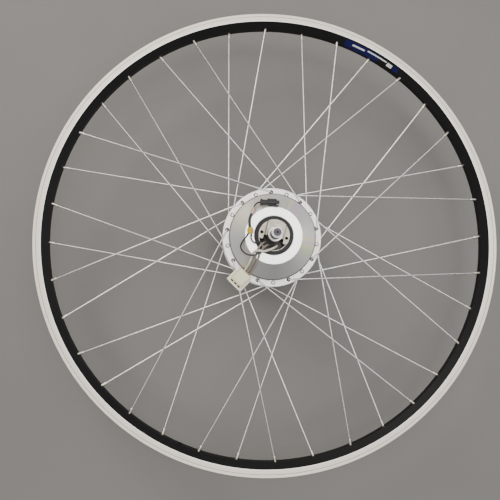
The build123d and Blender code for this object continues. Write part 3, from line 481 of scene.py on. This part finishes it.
def plate_finish():
    """Beige plated steel, with painted shade in its low places."""
    material, tree, shader = finish("side_plate_steel", Metallic=0.75)
    height, flat = height_of(tree), flat_place(tree)
    # painted shade in the wire well, below this height
    painted_shade_mask = arithmetic(tree, "LESS_THAN", height, WELL_SHADE_Z)
    # painted shade in the two tapped holes
    for centre in HOLE_SPOTS:
        away = measured(tree, "DISTANCE", flat, centre)
        inside = arithmetic(tree, "MULTIPLY", arithmetic(tree, "LESS_THAN", away, HOLE_R),
                            arithmetic(tree, "LESS_THAN", height, PLATE_FACE_Z))
        painted_shade_mask = arithmetic(tree, "MAXIMUM", painted_shade_mask, inside)
    stain = cloud(tree, 0.007, detail=5)
    steel = blend_colours(tree, stain, (0.25, 0.23, 0.19), (0.46, 0.43, 0.37))
    across = arithmetic(tree, "ABSOLUTE", measured(tree, "DOT_PRODUCT", flat, SLAB_AXIS))
    foot = add(tree, "ShaderNodeMapRange", {"Value": across, "From Min": SLAB_SIDE + 2.2 * MM,
                                            "From Max": SLAB_SIDE + 0.5 * MM}).outputs[0]
    foot = arithmetic(tree, "MULTIPLY", foot, arithmetic(tree, "GREATER_THAN", across, SLAB_SIDE))
    foot = arithmetic(tree, "MULTIPLY", foot, arithmetic(tree, "LESS_THAN", height, SLAB_FOOT_Z))
    # painted shade along the foot of the slab
    steel = blend_colours(tree, foot, steel, (0.060, 0.050, 0.036))
    # the colour of the painted shade
    shade_colour = blend_colours(tree, stain, (0.010, 0.009, 0.008), (0.045, 0.038, 0.030))
    feed(tree, shader, Base_Color=blend_colours(tree, painted_shade_mask, steel, shade_colour),
         Roughness=spread_values(tree, stain, 0.5, 0.32), Normal=bump(tree, cloud(tree, 0.0006), 0.00002, 0.4))
    return material


print(len(HOLE_SPOTS), "shade_darkened holes in the side plate")

# %% [markdown]
# ## Paint on the hub
# The hub shell wears a thick silver-white coat with a slight orange peel. A dark spot of painted shade is laid at
# every spoke hole of the near flange. The spots stand evenly round one circle, so the turn is cut into equal steps
# and one distance serves them all. The far flange gets them at the same places, which fall between its holes.

# %% Hub paint
HUB_CIRCLE_R = 60.6 * MM
FLANGE_HOLES = 18
FIRST_HOLE = 11.0
# radius of the dark spots of painted shade at the spoke holes
HOLE_SHADE_R = 2.95 * MM
HOLE_SHADE_CORE_R = 0.93 * HOLE_SHADE_R


def hub_paint():
    """Silver-white satin paint, with a dark spot of painted shade at every spoke hole of the near flange."""
    material, tree, shader = finish("silver_white_paint", Metallic=0.12, Coat_Weight=0.35, Coat_Roughness=0.12)
    steps = arithmetic(tree, "MULTIPLY", arithmetic(tree, "ADD", turn(tree), 0.5 - FIRST_HOLE / 360), FLANGE_HOLES)
    off = arithmetic(tree, "SUBTRACT", arithmetic(tree, "FRACT", arithmetic(tree, "ADD", steps, 0.5)), 0.5)
    sideways = arithmetic(tree, "MULTIPLY", off, 2 * pi * HUB_CIRCLE_R / FLANGE_HOLES)
    outward = arithmetic(tree, "SUBTRACT", radius(tree), HUB_CIRCLE_R)
    from_hole = add(tree, "ShaderNodeCombineXYZ", {"X": sideways, "Y": outward}).outputs[0]
    # painted shade: a dark spot at each hole place
    hole_shade = add(tree, "ShaderNodeMapRange", {"Value": measured(tree, "LENGTH", from_hole), "From Min": HOLE_SHADE_R,
                                             "From Max": HOLE_SHADE_CORE_R}).outputs[0]
    clouds = cloud(tree, 0.02, detail=4)
    fine = cloud(tree, 0.0009)
    paint = blend_colours(tree, clouds, (0.86, 0.85, 0.82), (0.94, 0.93, 0.905))
    feed(tree, shader, Base_Color=blend_colours(tree, hole_shade, paint, (0.035, 0.032, 0.028)),
         Roughness=spread_values(tree, fine, 0.26, 0.36), Normal=bump(tree, fine, 0.00003, 0.5))
    return material


print(FLANGE_HOLES, "shade_spotted spoke holes in each flange")

# %% [markdown]
# ## The shelf of finishes
# Every finish is made once and kept under a short name, so that the parts list after it can stay short. The
# numbers are two colours, two roughness values, a grain size and, for some, a grain depth.

# %% All finishes
finishes = {
    "rim": rim_finish(),
    "spoke": drawn_wire(),
    "nipple": plain_metal("nickel_nipple", (0.72, 0.66, 0.54), (0.88, 0.84, 0.76), 0.22, 0.38, 0.0006),
    "paint": hub_paint(),
    "cover": cover_finish(),
    "far_cover": turned_metal("turned_far_cover", (0.66, 0.65, 0.63), (0.84, 0.83, 0.81), 0.26, 0.0006, fan=0.3),
    "floor": moulded("pale_floor", (0.158, 0.154, 0.147), (0.200, 0.195, 0.186), 0.6, 0.8, 0.004, 0.0002, patch=0.4),
    "plate": plate_finish(),
    "axle": turned_metal("axle_steel", (0.40, 0.395, 0.39), (0.66, 0.65, 0.63), 0.3, 0.0007, fan=0.05),
    # a near-white painted highlight on the axle's chamfer
    "axle_rim": moulded("axle_edge_painted_highlight", (0.94, 0.94, 0.93), (0.98, 0.98, 0.97), 0.2, 0.3, 0.0004, 0.00001),
    "axle_end": turned_metal("axle_dark_end", (0.035, 0.033, 0.04), (0.10, 0.095, 0.11), 0.4, 0.0009),
    # the threads darkened with painted shade
    "axle_thread_painted_shade": plain_metal("axle_thread_painted_shade", (0.12, 0.118, 0.115), (0.24, 0.235, 0.225), 0.34, 0.5, 0.0004),
    # thin dark sheets of painted shade in slots and gaps
    "slot_shade": moulded("painted_slot_shade", (0.018, 0.016, 0.012), (0.035, 0.03, 0.024), 0.6, 0.8, 0.0005, 0.00002),
    "cream_rail": moulded("cream_rail", (0.82, 0.78, 0.62), (0.92, 0.89, 0.75), 0.32, 0.46, 0.0005, 0.00003),
    "bearing": turned_metal("bearing_steel", (0.62, 0.62, 0.63), (0.82, 0.82, 0.83), 0.14, 0.0009),
    "zinc": plain_metal("zinc_screw", (0.62, 0.62, 0.60), (0.80, 0.80, 0.79), 0.24, 0.4, 0.0004),
    "gear_steel": plain_metal("gear_steel", (0.40, 0.40, 0.41), (0.58, 0.58, 0.59), 0.3, 0.42, 0.0005),
    "lamination": plain_metal("stator_lamination", (0.24, 0.24, 0.26), (0.38, 0.38, 0.40), 0.4, 0.55, 0.0004),
    "copper": plain_metal("winding_copper", (0.52, 0.22, 0.10), (0.74, 0.36, 0.18), 0.22, 0.36, 0.0008,
                          Coat_Weight=0.4),
    "magnet": plain_metal("nickel_magnet", (0.52, 0.52, 0.50), (0.68, 0.68, 0.66), 0.2, 0.3, 0.0008),
    "nylon": moulded("gear_nylon", (0.76, 0.73, 0.64), (0.86, 0.84, 0.76), 0.34, 0.48, 0.0005, 0.00002,
                     Subsurface_Weight=0.08),
    "insulator": moulded("stator_insulator", (0.07, 0.14, 0.30), (0.11, 0.20, 0.40), 0.4, 0.55, 0.0004, 0.00002),
    "board": moulded("sensor_board", (0.02, 0.17, 0.07), (0.03, 0.24, 0.10), 0.25, 0.4, 0.001, 0.00002),
    "rubber": moulded("seal_rubber", (0.010, 0.010, 0.011), (0.026, 0.026, 0.028), 0.42, 0.62, 0.0005, 0.00003),
    "grommet": moulded("potting_rubber", (0.012, 0.011, 0.010), (0.035, 0.032, 0.030), 0.3, 0.6, 0.0012, 0.00015),
    "black_plug": moulded("black_plug", (0.022, 0.022, 0.024), (0.060, 0.061, 0.065), 0.28, 0.46, 0.0005, 0.00002),
    "cream_plug": moulded("cream_plug", (0.77, 0.69, 0.43), (0.86, 0.80, 0.56), 0.34, 0.5, 0.0005, 0.00003,
                          Subsurface_Weight=0.06),
    "tape": moulded("yellow_tape", (0.40, 0.25, 0.008), (0.66, 0.46, 0.02), 0.30, 0.5, 0.0007, 0.00004,
                    patch=0.003),
    "wire_grey": moulded("grey_sleeve", (0.20, 0.18, 0.145), (0.31, 0.28, 0.235), 0.42, 0.6, 0.0004, 0.00003),
    "wire_cream": moulded("cream_sleeve", (0.56, 0.52, 0.44), (0.74, 0.70, 0.60), 0.4, 0.58, 0.0004, 0.00003),
    "wire_brown": moulded("brown_sleeve", (0.17, 0.13, 0.12), (0.30, 0.25, 0.235), 0.4, 0.58, 0.0004, 0.00003),
    "wire_black": moulded("black_lead", (0.008, 0.008, 0.009), (0.022, 0.022, 0.023), 0.3, 0.5, 0.0004, 0.00003),
    "wire_red": moulded("red_wire", (0.55, 0.10, 0.05), (0.72, 0.20, 0.12), 0.34, 0.5, 0.0003, 0.00002),
    "wire_white": moulded("white_wire", (0.74, 0.72, 0.68), (0.88, 0.86, 0.82), 0.34, 0.5, 0.0003, 0.00002),
}
print(len(finishes), "finishes")

# %% [markdown]
# ## Which piece gets which finish
# The loaded pieces keep their shapes, so a finish is only put in their material slots. The table below reads
# like a parts list: a finish, then the start of the names of the pieces that wear it. A later line wins.

# %% Dress the loaded pieces
DRESS = (
    ("bearing", ("near_bearing_inner", "near_bearing_outer", "far_bearing_inner", "far_bearing_outer",
                 "near_bearing_balls", "far_bearing_balls", "rotor_bearing")),
    ("rubber", ("near_bearing_seals", "far_bearing_seals", "cover_o_ring")),
    ("rim", ("rim",)), ("spoke", ("spokes_",)), ("nipple", ("nipples_",)), ("paint", ("hub_shell",)),
    ("cover", ("near_cover",)), ("far_cover", ("far_cover",)), ("zinc", ("far_cover_screws", "planet_clips")),
    ("axle", ("axle",)), ("zinc", ("axle_spacer",)), ("rubber", ("axle_dust_seal",)),
    ("plate", ("side_plate",)), ("grommet", ("cable_grommet",)),
    ("lamination", ("stator_core", "rotor_can")), ("insulator", ("stator_insulators",)),
    ("copper", ("stator_windings",)), ("board", ("sensor_board",)), ("black_plug", ("hall_sensors",)),
    ("magnet", ("rotor_magnets",)), ("nylon", ("planet_gear_",)),
    ("gear_steel", ("sun_gear", "ring_gear", "planet_carrier", "planet_pins", "clutch_", "rotor_spacers")),
    ("wire_grey", ("phase_wire_grey",)), ("wire_cream", ("phase_wire_cream",)),
    ("wire_brown", ("phase_wire_brown", "signal_wire_brown")),
    ("wire_black", ("signal_lead_", "signal_sleeve", "signal_tail")),
    ("wire_red", ("signal_wire_red",)), ("wire_white", ("signal_wire_white",)), ("tape", ("splice_tape",)),
    ("cream_plug", ("phase_connector",)), ("black_plug", ("signal_connector",)),
)


def wear(piece, finish_name):
    piece.data.materials.clear()
    piece.data.materials.append(finishes[finish_name])


dressed = set()
for finish_name, starts in DRESS:
    for node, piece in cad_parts.items():
        if node.startswith(starts):
            wear(piece, finish_name)
            dressed.add(node)
wear(floor, "floor")
print("bare pieces:", sorted(set(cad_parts) - dressed))

# %% [markdown]
# ## Threads
# A thread is a small ridge that climbs as it goes round. The plain end of the loaded axle is copied, its threaded
# stretch is cut free at both ends and shrunk to the root, and one ridge is spun up along it. In a spin, dvec is
# the climb per step, so one turn of the steps must add up to the pitch. The freewheel boss is made the same way.
# The axle then takes four finishes: its own, a chamfer painted near-white as a painted highlight, a dark end
# face, and threads darkened with painted shade.

# %% Axle and freewheel threads
THREADS = {
    # node: (from z, to z, outer radius, root radius, pitch) in mm
    "axle": ((68.8, 85.2, 7.0, 6.15, 1.5), (-86.1, -80.3, 6.0, 5.3, 1.25)),
    "far_cover": ((-62.7, -55.8, 17.4, 16.8, 1.058),),
}
THREAD_STEPS = 64
NEAR_THREAD_FROM = 68.6 * MM
NEAR_CHAMFER_FROM = 85.2 * MM
FAR_THREAD_TO = -80.0 * MM
END_FACE_R = 4.85 * MM
FAR_ROOT_R = 5.2 * MM


def spun_ridge(bm, low, high, crest, root, pitch):
    """One ridge from low to high round the Z axis."""
    turns = (high - low - pitch) / pitch
    outline = ((root - 0.05, 0.02), (crest, 0.40), (crest, 0.55), (root - 0.05, 0.93))
    corners = [bm.verts.new((r * MM, 0, (low + part * pitch) * MM)) for r, part in outline]
    edges = [bm.edges.new(pair) for pair in zip(corners, corners[1:] + corners[:1])]
    steps = round(turns * THREAD_STEPS)
    bmesh.ops.spin(bm, geom=corners + edges, cent=(0, 0, 0), axis=(0, 0, 1), angle=2 * pi * turns, steps=steps,
                   dvec=(0, 0, (high - low - pitch) * MM / steps))
    bmesh.ops.holes_fill(bm, edges=[edge for edge in bm.edges if edge.is_boundary], sides=4)


def threaded(node, zones):
    bm = bmesh.new()
    bm.from_mesh(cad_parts[node].data)
    bmesh.ops.remove_doubles(bm, verts=bm.verts, dist=1e-7)
    for low, high, crest, root, pitch in zones:
        for z in (low, high):
            bmesh.ops.bisect_plane(bm, geom=bm.verts[:] + bm.edges[:] + bm.faces[:], plane_co=(0, 0, z * MM),
                                   plane_no=(0, 0, 1))
        for vert in bm.verts:
            inside = low * MM - 1e-6 < vert.co.z < high * MM + 1e-6
            if inside and abs(hypot(vert.co.x, vert.co.y) - crest * MM) < 0.05 * MM:
                vert.co.x *= root / crest
                vert.co.y *= root / crest
        spun_ridge(bm, low, high, crest, root, pitch)
    return mesh_piece(node + "_threaded", bm, smooth_angle=30)


def shown_as(piece, node, body="axle_assembly"):
    """The piece stands for that loaded node, wears its finish and rides on the same body."""
    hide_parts(node)
    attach(piece, body)
    piece.data.materials.clear()
    piece.data.materials.append(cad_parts[node].data.materials[0])


threaded_axle = threaded("axle", THREADS["axle"])
shown_as(threaded_axle, "axle")
shown_as(threaded("far_cover", THREADS["far_cover"]), "far_cover", "wheel")
CHAMFER, END_FACE, THREAD = 1, 2, 3
for extra in ("axle_rim", "axle_end", "axle_thread_painted_shade"):
    threaded_axle.data.materials.append(finishes[extra])
# chamfer faces get the painted highlight, thread faces the painted shade
for face in threaded_axle.data.polygons:
    spot = face.center
    out = hypot(spot.x, spot.y)
    if spot.z > NEAR_CHAMFER_FROM:
        face.material_index = CHAMFER if out > END_FACE_R else END_FACE
    elif spot.z > NEAR_THREAD_FROM or (spot.z < FAR_THREAD_TO and out > FAR_ROOT_R):
        face.material_index = THREAD
print(len(threaded_axle.data.polygons), "faces on the axle")

# %% [markdown]
# ## Wires
# Three thick phase wires climb out of the well beside the axle, bend over its low wall and dive into the back of
# the cream plug. Two thin black leads take a wide loop and a short way to the yellow tape. From there a black
# sleeve, three thin coloured wires and a black tail lead on to the in-line plug. Each is one smooth NURBS curve
# with a round bevel. The order is set after the points, because on an empty spline it would not hold.

# %% Wire routes, in metres
WELL_FLOOR = 36.5 * MM
LEAVES = {
    "phase_wire_grey": (-0.0106, -0.0078, WELL_FLOOR),
    "phase_wire_cream": (0.0048, -0.0128, WELL_FLOOR),
    "phase_wire_brown": (-0.0056, -0.0120, WELL_FLOOR),
    "signal_lead_inner": (-0.0123, -0.0041, WELL_FLOOR),
    "signal_lead_loop": (0.0016, -0.0126, WELL_FLOOR),
}
ROUTES = {
    "phase_wire_grey": [(-0.0106, -0.0078, 0.0436), (-0.0146, -0.0102, 0.0498), (-0.0190, -0.0144, 0.0508),
                        (-0.0218, -0.0204, 0.0506), (-0.0238, -0.0272, 0.0504), (-0.0268, -0.0340, 0.0492),
                        (-0.0300, -0.0410, 0.0434), (-0.0352, -0.0494, 0.0356)],
    "phase_wire_cream": [(0.0048, -0.0128, 0.0440), (0.0002, -0.0160, 0.0510), (-0.0074, -0.0196, 0.0552),
                         (-0.0136, -0.0213, 0.0574), (-0.0196, -0.0204, 0.0578), (-0.0256, -0.0206, 0.0534),
                         (-0.0286, -0.0264, 0.0502), (-0.0308, -0.0334, 0.0488), (-0.0336, -0.0394, 0.0432),
                         (-0.0382, -0.0464, 0.0356)],
    "phase_wire_brown": [(-0.0056, -0.0120, 0.0438), (-0.0096, -0.0130, 0.0494), (-0.0146, -0.0168, 0.0506),
                         (-0.0180, -0.0228, 0.0508), (-0.0204, -0.0298, 0.0508), (-0.0236, -0.0368, 0.0482),
                         (-0.0270, -0.0440, 0.0426), (-0.0324, -0.0524, 0.0356)],
    "signal_lead_inner": [(-0.0123, -0.0041, 0.0432), (-0.0148, -0.0070, 0.0486), (-0.0194, -0.0090, 0.0502),
                          (-0.0248, -0.0106, 0.0498), (-0.0290, -0.0066, 0.0498), (-0.0299, -0.0014, 0.0502),
                          (-0.0289, 0.0029, 0.0508)],
    "signal_lead_loop": [(0.0016, -0.0126, 0.0440), (-0.0026, -0.0136, 0.0504), (-0.0082, -0.0158, 0.0532),
                         (-0.0144, -0.0192, 0.0540), (-0.0200, -0.0232, 0.0540), (-0.0262, -0.0260, 0.0544),
                         (-0.0314, -0.0260, 0.0532), (-0.0368, -0.0238, 0.0496), (-0.0412, -0.0196, 0.0466),
                         (-0.0432, -0.0148, 0.0458), (-0.0414, -0.0094, 0.0474), (-0.0382, -0.0050, 0.0494),
                         (-0.0352, -0.0012, 0.0507), (-0.0323, 0.0031, 0.0508)],
}
SHORT_ROUTES = {
    "signal_sleeve": [(-0.0309, 0.0094, 0.0508), (-0.0317, 0.0156, 0.0510), (-0.0312, 0.0220, 0.0504),
                      (-0.0289, 0.0278, 0.0489)],
    "signal_wire_brown": [(-0.0301, 0.0274, 0.0491), (-0.0292, 0.0309, 0.0481), (-0.0279, 0.0339, 0.0472),
                          (-0.0261, 0.0366, 0.0464)],
    "signal_wire_red": [(-0.0283, 0.0266, 0.0491), (-0.0264, 0.0296, 0.0483), (-0.0253, 0.0328, 0.0473),
                        (-0.0247, 0.0360, 0.0464)],
    "signal_wire_white": [(-0.0292, 0.0270, 0.0501), (-0.0277, 0.0303, 0.0497), (-0.0262, 0.0334, 0.0486),
                          (-0.0254, 0.0363, 0.0473)],
    "signal_tail": [(-0.0256, 0.0354, 0.0466), (-0.0247, 0.0390, 0.0457), (-0.0223, 0.0418, 0.0453),
                    (-0.0190, 0.0434, 0.0456), (-0.0158, 0.04375, 0.0464)],
}
THICK = {"phase": 2.8 * MM, "signal_lead": 2.0 * MM, "signal_sleeve": 3.6 * MM, "signal_wire": 1.0 * MM,
         "signal_tail": 2.2 * MM}


def wire(name, points, diameter):
    """A smooth round wire along those points."""
    curve = bpy.data.curves.new(name, "CURVE")
    curve.dimensions = "3D"
    curve.bevel_depth = 1.0
    curve.bevel_resolution = 6
    curve.resolution_u = 10
    curve.use_fill_caps = True
    spline = curve.splines.new("NURBS")
    spline.points.add(len(points) - 1)
    for slot, point in zip(spline.points, points):
        slot.co = (*point, 1)
        slot.radius = diameter / 2
    spline.order_u = 3
    spline.use_endpoint_u = True
    return new_object(name, curve)


def thickness(name):
    return next(value for start, value in THICK.items() if name.startswith(start))


wires = {}
for name, points in {**{key: [LEAVES[key]] + route for key, route in ROUTES.items()}, **SHORT_ROUTES}.items():
    wires[name] = wire(name + "_wire", points, thickness(name))
    shown_as(wires[name], name)
print(len(wires), "wires")

# %% [markdown]
# ## Cream plug
# The cream plug is a block with a raised lid, two paler rails along its sides and a lip. Its three slots near the
# mouth, on top and at the front, are thin dark sheets of painted shade, and a thin dark sheet round the lid's foot is
# a painted shadow. Each brick is a cube with its edges bevelled, so every edge catches a thin line of light.

# %% Cream plug
PLUG_SPOT = Vector((-43.8, -55.6, 30.0)) * MM
PLUG_TURN = radians(225)
PLUG_BRICKS = (
    # finish, centre in mm, size in mm, bevel in mm
    ("cream_plug", (0, 0, 5.5), (23.6, 20.4, 11.0), 0.7),
    # a thin dark sheet round the lid's foot: a painted shadow
    ("slot_shade", (-2.4, 0, 10.98), (18.2, 18.0, 0.12), 0.05),
    ("cream_plug", (-2.4, 0, 11.25), (17.6, 17.4, 1.1), 0.35),
    ("cream_rail", (3.2, 11.1, 5.0), (17.0, 2.3, 7.0), 0.5),
    ("cream_rail", (3.2, -11.1, 5.0), (17.0, 2.3, 7.0), 0.5),
    ("cream_rail", (11.0, 0, 9.3), (1.9, 19.4, 3.6), 0.4),
    # the slots: thin dark sheets of painted shade
    ("slot_shade", (8.3, 5.7, 10.95), (2.0, 4.2, 0.3), 0.08),
    ("slot_shade", (8.3, 0, 10.95), (2.0, 4.2, 0.3), 0.08),
    ("slot_shade", (8.3, -5.7, 10.95), (2.0, 4.2, 0.3), 0.08),
    ("slot_shade", (11.85, 6.0, 5.2), (0.2, 4.4, 4.6), 0.06),
    ("slot_shade", (11.85, 0, 5.2), (0.2, 4.4, 4.6), 0.06),
    ("slot_shade", (11.85, -6.0, 5.2), (0.2, 4.4, 4.6), 0.06),
)


def bricks(name, table, frame_matrix):
    """Bevelled bricks in one mesh, each with its own finish."""
    bm = bmesh.new()
    used = []
    for finish_name, centre, size, rounding in table:
        if finish_name not in used:
            used.append(finish_name)
        made = bmesh.ops.create_cube(bm, size=1.0)["verts"]
        bmesh.ops.scale(bm, verts=made, vec=Vector(size) * MM)
        bmesh.ops.translate(bm, verts=made, vec=Vector(centre) * MM)
        edges = list({edge for vert in made for edge in vert.link_edges})
        faces = set(bmesh.ops.bevel(bm, geom=edges, offset=rounding * MM, offset_type="OFFSET", segments=3,
                                    profile=0.5, affect="EDGES", material=-1)["faces"])
        grown = set(faces)
        while grown:
            grown = {near for face in grown for edge in face.edges for near in edge.link_faces} - faces
            faces |= grown
        for face in faces:
            face.material_index = used.index(finish_name)
    bmesh.ops.transform(bm, matrix=frame_matrix, verts=bm.verts)
    piece = mesh_piece(name, bm)
    for finish_name in used:
        piece.data.materials.append(finishes[finish_name])
    return piece


plug = bricks("three_pole_plug", PLUG_BRICKS,
              Matrix.Translation(PLUG_SPOT) @ Matrix.Rotation(PLUG_TURN, 4, "Z"))
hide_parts("phase_connector")
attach(plug, "axle_assembly")
print(len(plug.data.polygons), "faces on the plug")

# %% [markdown]
# ## Black in-line plug
# This plug lies just above the sloping cone of the cover. It is built flat from the same kind of bricks: a body,
# a stepped rear, two latch wings and three grip ribs. One matrix then leans the whole piece on the cone, which
# is easier than slanting every brick.

# %% Black in-line plug
CONE_SLOPE = 0.7539
INLINE_CLOCK = radians(96.9)
INLINE_SEAT_R = 41.2
INLINE_SEAT_Z = 33.6 + (56.2 - INLINE_SEAT_R) * CONE_SLOPE
INLINE_YAW = radians(13.9)
INLINE_LIFT = 0.4
INLINE_BRICKS = (
    ("black_plug", (-6.4, 0, 2.8), (12.4, 5.6, 5.2), 0.7),
    ("black_plug", (-11.0, 0, 3.0), (2.6, 7.2, 5.8), 0.6),
    ("black_plug", (4.4, 0, 3.2), (9.4, 7.6, 6.2), 0.7),
    ("black_plug", (-0.6, 0, 3.1), (1.4, 8.2, 6.4), 0.4),
    ("black_plug", (10.6, 1.4, 3.0), (4.2, 3.6, 3.6), 0.7),
    ("black_plug", (2.2, 5.6, 3.1), (11.6, 1.3, 2.2), 0.4),
    ("black_plug", (6.4, 4.6, 3.1), (2.4, 2.4, 2.0), 0.3),
    ("black_plug", (7.4, -5.6, 3.1), (9.2, 1.3, 2.2), 0.4),
    ("black_plug", (5.2, -4.6, 3.1), (2.4, 2.4, 2.0), 0.3),
    ("black_plug", (-8.6, 0, 5.3), (0.7, 4.6, 0.7), 0.2),
    ("black_plug", (-6.8, 0, 5.3), (0.7, 4.6, 0.7), 0.2),
    ("black_plug", (-5.0, 0, 5.3), (0.7, 4.6, 0.7), 0.2),
    # a thin dark sheet of painted shade in the latch's slot
    ("slot_shade", (4.6, 0, 6.3), (5.0, 1.2, 0.2), 0.06),
)


def on_the_cone():
    """A matrix that lays a piece flat on the cone, its X axis running clockwise round the axle and uphill."""
    outward = Vector((cos(INLINE_CLOCK), sin(INLINE_CLOCK), 0))
    clockwise = Vector((sin(INLINE_CLOCK), -cos(INLINE_CLOCK), 0))
    steep = (1 + CONE_SLOPE ** 2) ** 0.5
    normal = (outward * CONE_SLOPE + Vector((0, 0, 1))) / steep
    uphill = (Vector((0, 0, CONE_SLOPE)) - outward) / steep
    forward = clockwise * cos(INLINE_YAW) + uphill * sin(INLINE_YAW)
    seat = (outward * INLINE_SEAT_R + Vector((0, 0, INLINE_SEAT_Z)) + normal * INLINE_LIFT) * MM
    return Matrix.Translation(seat) @ Matrix((forward, normal.cross(forward), normal)).transposed().to_4x4()


inline_plug = bricks("inline_plug", INLINE_BRICKS, on_the_cone())
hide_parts("signal_connector")
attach(inline_plug, "axle_assembly")
print(len(inline_plug.data.polygons), "faces on the in-line plug")

# %% [markdown]
# ## Yellow tape
# The tape is a few turns round two leads. A profile with a small step where each turn overlaps the last is spun
# round the leads' direction, then flattened, because tape over two leads is wider than it is high.

# %% Yellow tape
TAPE_SPOT = Vector((-30.5, 6.0, 50.8)) * MM
TAPE_TURN = radians(6)
TAPE_HALF = 4.2
TAPE_WIDE, TAPE_HIGH = 3.9, 2.35
TAPE_TURNS = 6
TAPE_MOUTH = 0.55           # the hole at both ends, as a share of the width
TAPE_BARREL = 6.0           # half length of the oval that gives the roll its belly


def tape_roll():
    """Overlapping turns of tape: each one starts with a small step."""
    bm = bmesh.new()
    outline = [(TAPE_MOUTH, -TAPE_HALF)]
    for i in range(TAPE_TURNS):
        for part, step in ((0.02, 0.035), (0.96, -0.02)):
            y = -TAPE_HALF + 2 * TAPE_HALF * (i + part) / TAPE_TURNS
            swell = (1 - (y / TAPE_BARREL) ** 2) ** 0.5
            outline.append((swell + step, y))
    outline.append((TAPE_MOUTH, TAPE_HALF))
    corners = [bm.verts.new((r, y, 0)) for r, y in outline]
    edges = [bm.edges.new(pair) for pair in zip(corners, corners[1:])]
    bmesh.ops.spin(bm, geom=corners + edges, cent=(0, 0, 0), axis=(0, 1, 0), angle=2 * pi, steps=40,
                   use_merge=True)
    bmesh.ops.holes_fill(bm, edges=[edge for edge in bm.edges if edge.is_boundary], sides=40)
    bmesh.ops.scale(bm, verts=bm.verts, vec=(TAPE_WIDE * MM, MM, TAPE_HIGH * MM))
    bmesh.ops.transform(bm, matrix=Matrix.Translation(TAPE_SPOT) @ Matrix.Rotation(TAPE_TURN, 4, "Z"),
                        verts=bm.verts)
    return mesh_piece("yellow_tape", bm, smooth_angle=50)


tape = tape_roll()
shown_as(tape, "splice_tape")
print(len(tape.data.polygons), "faces on the tape")
